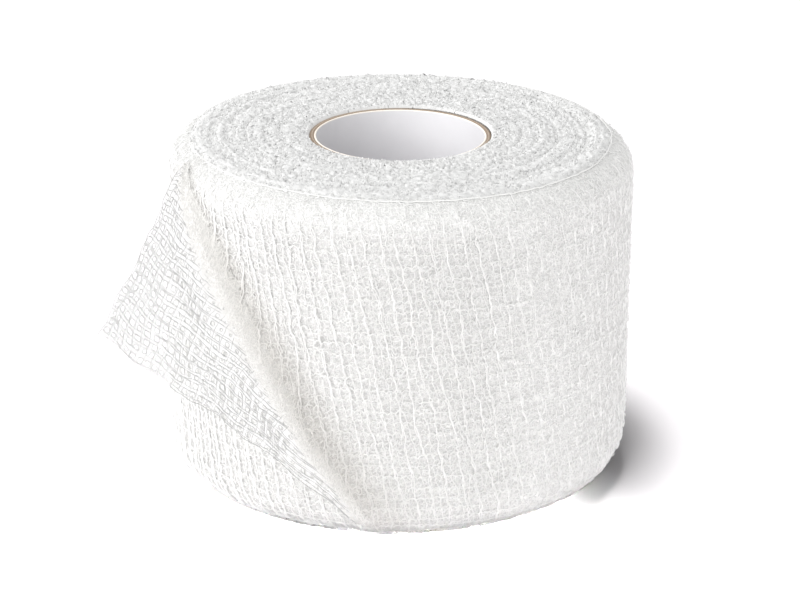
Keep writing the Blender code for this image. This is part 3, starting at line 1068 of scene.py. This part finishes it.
GRAIN = 0.25 * MM  # between the points of the felted top face
GRAIN_RADIUS = 0.65  # where that holds round the roll, as a share of the face's radius
GRAIN_SCATTER = 0.09 * MM
GRAIN_RELIEF = 0.15 * MM
TURN_RELIEF = 0.08 * MM
FELT_START = 0.02 * MM  # from the core
FELT_OVERLAP = 0.25 * MM  # how far the felt reaches past the outer turn's edge
FELT_EDGE_DROP = 0.45 * MM  # of the felt's first and last rows
SMOOTH_EDGE = 1.2 * MM  # how far from the core the felt is smoother

# The loops on the top face
LOOP_COUNT = 12200
ARCH_STEPS = 5
LOOP_MARGINS = (0.3 * MM, 0.2 * MM)  # from the core and the outer turn's edge
LOOP_PULL = 0.65  # how far a loop is drawn to its turn's line
LOOP_OVERSWEEP = 0.3  # radians that an arch goes on past a half circle, at each end
LOOP_WIDTHS = (0.04 * MM, 0.11 * MM)
LOOP_HEIGHTS = (0.16 * MM, 0.40 * MM)
LOOP_LEAN = 0.25
LOOP_RADII = (0.045 * MM, 0.07 * MM)
LOOP_ROOT = 0.12 * MM  # below the top face
PALENESS_OF_TURN = 0.25

# The line on the rim
SELVEDGE_STEPS = 700
SELVEDGE_RADIUS = 0.105 * MM
SELVEDGE_SWAY = ((1.6 * MM, 0.13 * MM), (25 * MM, 0.1 * MM))
SELVEDGE_LIFT = 0.12 * MM
LIFT_ON_RIGHT = 0.08 * MM
BOLDER_ON_RIGHT = 0.5

# The fibres on the fold
FIBRE_COUNT = 1150
FIBRE_BAND = (-1.2 * MM, 2.1 * MM)  # from the crease
FIBRE_BENDS = CURL_BENDS[:3]
FIBRE_ODDS = (0.4, 0.4, 0.2)
FIBRE_SWEEPS = (1.8, 4.5)
FIBRE_LIFTS = (0.0 * MM, 0.05 * MM)
FIBRE_RADII = (0.04 * MM, 0.07 * MM)


def outer_edge(azimuth):
    """The radius at which the outer turn ends on the rounded upper edge."""
    rim = top_rim(azimuth)
    return ROLL_RADIUS - rim + rim * math.cos(SELVEDGE_TURN)


def felted_top(rng):
    """The crowded edges of the turns: a fine rough grain, with faint rings."""
    middle, inner = ROLL_RADIUS - TOP_RIM, TUBE_RADIUS + FELT_START
    rows = int((middle - inner) / GRAIN)
    steps = int(2 * math.pi * GRAIN_RADIUS * middle / GRAIN)
    azimuth = (2 * math.pi * np.arange(steps) / steps)[None]
    share = np.linspace(0, 1, rows)[:, None]
    radius = inner + (outer_edge(azimuth) + FELT_OVERLAP - inner) * share
    rough = np.clip((radius - inner) / SMOOTH_EDGE, 0.1, 1)
    turns = (radius + azimuth / (2 * math.pi) * TURN_PITCH) / TURN_PITCH
    of_turn = rng.normal(0, 1, TURN_KINDS)[turns.astype(int) % TURN_KINDS]
    radius = radius + rng.normal(0, GRAIN_SCATTER, (rows, steps)) * rough
    azimuth = azimuth + rng.normal(0, GRAIN_SCATTER, (rows, steps)) / radius
    relief = rng.normal(0, GRAIN_RELIEF, (rows, steps)) + TURN_RELIEF * of_turn
    lowered = FELT_EDGE_DROP * ((share == 0) | (share == 1))
    height = top_height(azimuth, radius) + relief * rough - lowered
    points = outward(azimuth) * radius[..., None] + upward(height)
    index = np.arange(rows * steps).reshape(rows, steps)
    return points.reshape(-1, 3), quads(index[:-1], index[1:])


def standing_loops(threads, rng):
    """Small arches of yarn that stand up all over the top face: the woven edges of the turns. Gives
    each its own paleness, 0 to 1, for every point."""
    paleness = []
    of_turn = rng.uniform(-PALENESS_OF_TURN, PALENESS_OF_TURN, TURN_KINDS)
    inner = TUBE_RADIUS + LOOP_MARGINS[0]
    sweep = np.linspace(-LOOP_OVERSWEEP, math.pi + LOOP_OVERSWEEP, ARCH_STEPS)[:, None]
    for _ in range(LOOP_COUNT):
        azimuth = rng.uniform(0, 2 * math.pi)
        outer = outer_edge(azimuth) - LOOP_MARGINS[1]
        radius = math.sqrt(rng.uniform(inner**2, outer**2))
        turn = round(radius / TURN_PITCH)
        radius = max(radius * (1 - LOOP_PULL) + turn * TURN_PITCH * LOOP_PULL, inner)
        side = rightward(rng.uniform(0, math.pi)) * np.cos(sweep)
        wide, tall = rng.uniform(*LOOP_WIDTHS), rng.uniform(*LOOP_HEIGHTS)
        up = (outward(azimuth) * rng.normal(0, LOOP_LEAN) + [0.0, 0.0, 1.0]) * np.sin(sweep)
        root = outward(azimuth) * radius + upward(top_height(azimuth, radius) - LOOP_ROOT)
        threads.add(root + side * wide + up * tall, side + up, rng.uniform(*LOOP_RADII))
        pale = rng.uniform(0, 1) + of_turn[turn % TURN_KINDS]
        paleness += [min(max(pale, 0.0), 1.0)] * (3 * ARCH_STEPS)
    return paleness


def rim_selvedge(threads, rng):
    """The outer turn's woven edge, a thin line on the rounded upper edge, bolder on the right."""
    around = np.linspace(0, AROUND, SELVEDGE_STEPS, endpoint=False)
    _, end = strip_ends(around / ROLL_RADIUS)
    across = end + wander(rng, around, *SELVEDGE_SWAY, period=AROUND)
    on_the_right = np.maximum(0, np.sin(around / ROLL_RADIUS))
    lift = SELVEDGE_LIFT + LIFT_ON_RIGHT * on_the_right
    radius = SELVEDGE_RADIUS * (1 + BOLDER_ON_RIGHT * on_the_right)
    threads.add(*on_strip(around, across, lift), radius, closed=True)


def end_faces(yarn, loop_yarn, felt):
    """The roll's end faces and the line on its rim. The top face's felt and loops are returned."""
    rng = np.random.default_rng(FACE_SEED)
    loops = Threads()
    paleness = standing_loops(loops, rng)
    on_top = [loops.lay("top_face_loops", loop_yarn, paleness)]
    on_top.append(piece("felted_top_face", *felted_top(rng), felt, "gauze"))
    laid("rim_selvedge", yarn, rim_selvedge, rng)
    laid("foot_turn_edges", yarn, foot_turns, rng)
    return on_top


def fold_fibres(threads, cloth, rng):
    """Short curls all over the felted cloth at the fold and past it."""
    for _ in range(FIBRE_COUNT):
        middle = rng.uniform(0, 1)
        past = rng.uniform(*FIBRE_BAND) / cloth.reach
        bend = rng.choice(FIBRE_BENDS, p=FIBRE_ODDS) * rng.uniform(*BEND_RANGE)
        wide, tall = curl(rng, bend, rng.uniform(*FIBRE_SWEEPS))
        x = 1 - middle + past / 2 + wide / cloth.woven_length
        y = middle + past / 2 + tall / cloth.cut_length
        line, out = cloth.at(np.stack([x, y], axis=-1), rng.uniform(*FIBRE_LIFTS))
        threads.add(line, out, rng.uniform(*FIBRE_RADII))


def loose_end(yarn, fibre, nap):
    cloth = LooseEnd()
    rng = np.random.default_rng(LOOSE_END_SEED)
    fibres = Threads()
    fold_fibres(fibres, cloth, rng)
    points, _ = fibres.mesh()
    fibres.lay("fold_fibres", fibre, np.maximum(painted_fold_shade(points), FOLD_SHADE))
    net = Threads(round_yarn=True)
    flap_threads(net, cloth, rng)
    points, faces, opened = flap_web(cloth, rng, net)
    # the net's threads and mesh outlines are in the dark yarn of painted edge shade
    threads = net.lay("loose_end_threads", yarn)
    web = piece("loose_end_web", points, faces, nap, "gauze", ["loose_end"], opened)
    for made in (threads, web):
        made.visible_shadow = False
        made.visible_diffuse = False


CORE_STEPS = 144  # round the core
WALL_ROWS = 4
SOFT_EDGE = 0.12 * MM


def tube(outer, wall):
    """The points and faces of a tube of the core, whose edges are a little softened."""
    inner, top, bottom = outer - wall, STRIP_WIDTH - CORE_RECESS, CORE_RECESS
    soft = min(wall * 0.3, SOFT_EDGE)
    section = [(inner, height) for height in np.linspace(top - soft, bottom + soft, WALL_ROWS)]
    section += [(inner + soft, bottom), (outer - soft, bottom)]
    section += [(outer, height) for height in np.linspace(bottom + soft, top - soft, WALL_ROWS)]
    section += [(outer - soft, top), (inner + soft, top)]
    return lathe(lambda azimuth: section, CORE_STEPS)


def core(card, paper):
    """The cardboard tube and its lining, which is returned."""
    piece("card_tube", *tube(TUBE_RADIUS, TUBE_WALL), card, "core_cardboard", ["core_tube"])
    return piece("paper_lining", *tube(LINER_RADIUS, LINER_WALL), paper, "core_paper", ["core_liner"])


# ---------------------------------------------------------------- stage, light and camera

CAMERA_LENS = 144.36  # on a sensor 36 mm wide
CAMERA_PITCH = math.radians(20.38)
CAMERA_ROLL = math.radians(-0.47)
CAMERA_DISTANCE = 560.0 * MM
LOOKED_AT = Vector((0.16, 0.0, 29.2)) * MM
FLOOR_HALF = 3.0  # from the floor's middle to its sides
WORLD_STRENGTH = 0.86
LAMPS = (
    # name, what it alone lights, azimuth, elevation, distance, size, and its brightness: the
    # radiance that it gives a white card facing it
    ("key", None, -70, 26, 1.1, 0.5, 0.34),
    ("top_light", None, -60, 65, 1.1, 0.5, 0.06),
    ("raking_light", "top face", -125, 28, 1.1, 0.35, 0.40),
    ("front_light", None, 6, 4, 1.5, 1.0, 0.29),
    ("core_light", "lining", -47, 49, 1.1, 0.7, 0.57),
    ("high_floor_light", "floor", -35, 79.0, 3.0, 0.80, 3.8),
)
FOOT_BEAMS = (
    # narrow low lamps that fill the roll's shadow at its front:
    # azimuth, shift to their right, width, spread in degrees, energy
    (-50, -5 * MM, 0.07, 2.5, 0.12),
    (0, -14 * MM, 0.07, 5.0, 0.32),
    (30, -4 * MM, 0.02, 10.0, 0.14),
)
BEAM_ELEVATION = 12
BEAM_DISTANCE = 0.30  # from the roll's side
BEAM_HEIGHT = 0.012


def floor():
    mesh = bpy.data.meshes.new("floor")
    sides = (-FLOOR_HALF, FLOOR_HALF)
    mesh.from_pydata([(x, y, 0.0) for y in sides for x in sides], [], [(0, 1, 3, 2)])
    mesh.materials.append(Finish("floor", (0.254, 0.247, 0.252), 0.9).material)
    made = in_scene("floor", mesh)
    return made


def lamp(name, azimuth, elevation, distance, size, energy):
    """A soft square lamp that faces the roll."""
    data = bpy.data.lights.new(name, "AREA")
    data.shape = "SQUARE"
    data.size = size
    data.energy = energy
    azimuth, elevation = math.radians(azimuth), math.radians(elevation)
    toward = Vector(outward(azimuth)) * math.cos(elevation) + Vector((0.0, 0.0, math.sin(elevation)))
    made = in_scene(name, data)
    made.location = AXIS + toward * distance
    made.rotation_euler = (-toward).to_track_quat("-Z", "Y").to_euler()
    return made


def light_only(lamp_object, lit):
    """Keeps a lamp's light to these objects. Everything still casts its shadow."""
    group = bpy.data.collections.new(lamp_object.name)
    for made in lit:
        group.objects.link(made)
    lamp_object.light_linking.receiver_collection = group


def light(ground, lining, top_face):
    world = bpy.data.worlds.new("studio")
    world.use_nodes = True
    backdrop = world.node_tree.nodes["Background"]
    backdrop.inputs["Color"].default_value = (1.0, 1.0, 1.0, 1.0)
    backdrop.inputs["Strength"].default_value = WORLD_STRENGTH
    bpy.context.scene.world = world
    lit = {"floor": [ground], "lining": [lining], "top face": top_face}
    for name, only, azimuth, elevation, distance, size, brightness in LAMPS:
        made = lamp(name, azimuth, elevation, distance, size, brightness * (math.pi * distance) ** 2)
        if only:
            light_only(made, lit[only])
    for i, (azimuth, shift, width, spread, energy) in enumerate(FOOT_BEAMS):
        beam = lamp(f"foot_beam_{i}", azimuth, BEAM_ELEVATION, BEAM_DISTANCE, width, energy)
        turn = math.radians(azimuth)
        beam.location += Vector(rightward(turn)) * shift + Vector(outward(turn)) * ROLL_RADIUS
        beam.data.shape = "RECTANGLE"
        beam.data.size_y = BEAM_HEIGHT
        beam.data.spread = math.radians(spread)
        light_only(beam, [ground])


def camera():
    data = bpy.data.cameras.new("camera")
    data.sensor_width = 36.0
    data.lens = CAMERA_LENS
    data.clip_start = 0.01
    data.clip_end = 20.0
    ahead = Vector((0.0, math.cos(CAMERA_PITCH), -math.sin(CAMERA_PITCH)))
    up = Vector((0.0, math.sin(CAMERA_PITCH), math.cos(CAMERA_PITCH)))
    turn = Matrix((Vector((1.0, 0.0, 0.0)), up, -ahead)).transposed()
    made = in_scene("camera", data)
    made.matrix_world = (
        Matrix.Translation(AXIS + LOOKED_AT - ahead * CAMERA_DISTANCE)
        @ turn.to_4x4()
        @ Matrix.Rotation(-CAMERA_ROLL, 4, "Z")
    )
    bpy.context.scene.camera = made
    bpy.context.scene.view_settings.view_transform = "Standard"


def main():
    yarn = cotton("white_yarn", (0.97, 0.97, 0.955), (0.93, 0.93, 0.915), (0.76, 0.745, 0.715))
    # the loose end's threads are dark grey: painted shade along the edges of its flat yarns
    flap_shade_yarn = cotton("flap_shade_yarn", (0.53, 0.53, 0.525), (0.45, 0.45, 0.445), (0.56, 0.55, 0.53))
    fine_yarn = cotton("fine_yarn", (0.95, 0.95, 0.94), (0.92, 0.92, 0.91), (0.76, 0.745, 0.715))
    loop_yarn = cotton("loop_yarn", (0.62, 0.62, 0.62), (0.56, 0.56, 0.56), (1.0, 1.0, 0.99))
    # the felt is darker than the loops: partly painted shade in the gaps between them
    felt = cotton("felt", (0.82, 0.82, 0.815), (0.71, 0.71, 0.705), (0.90, 0.90, 0.895))
    camera()
    wound_gauze(packed_gauze())
    outer_turn(yarn, fine_yarn)
    top_face = end_faces(yarn, loop_yarn, felt)
    loose_end(flap_shade_yarn, fine_yarn, flap_nap())
    light(floor(), core(brown_card(), white_paper()), top_face)


main()
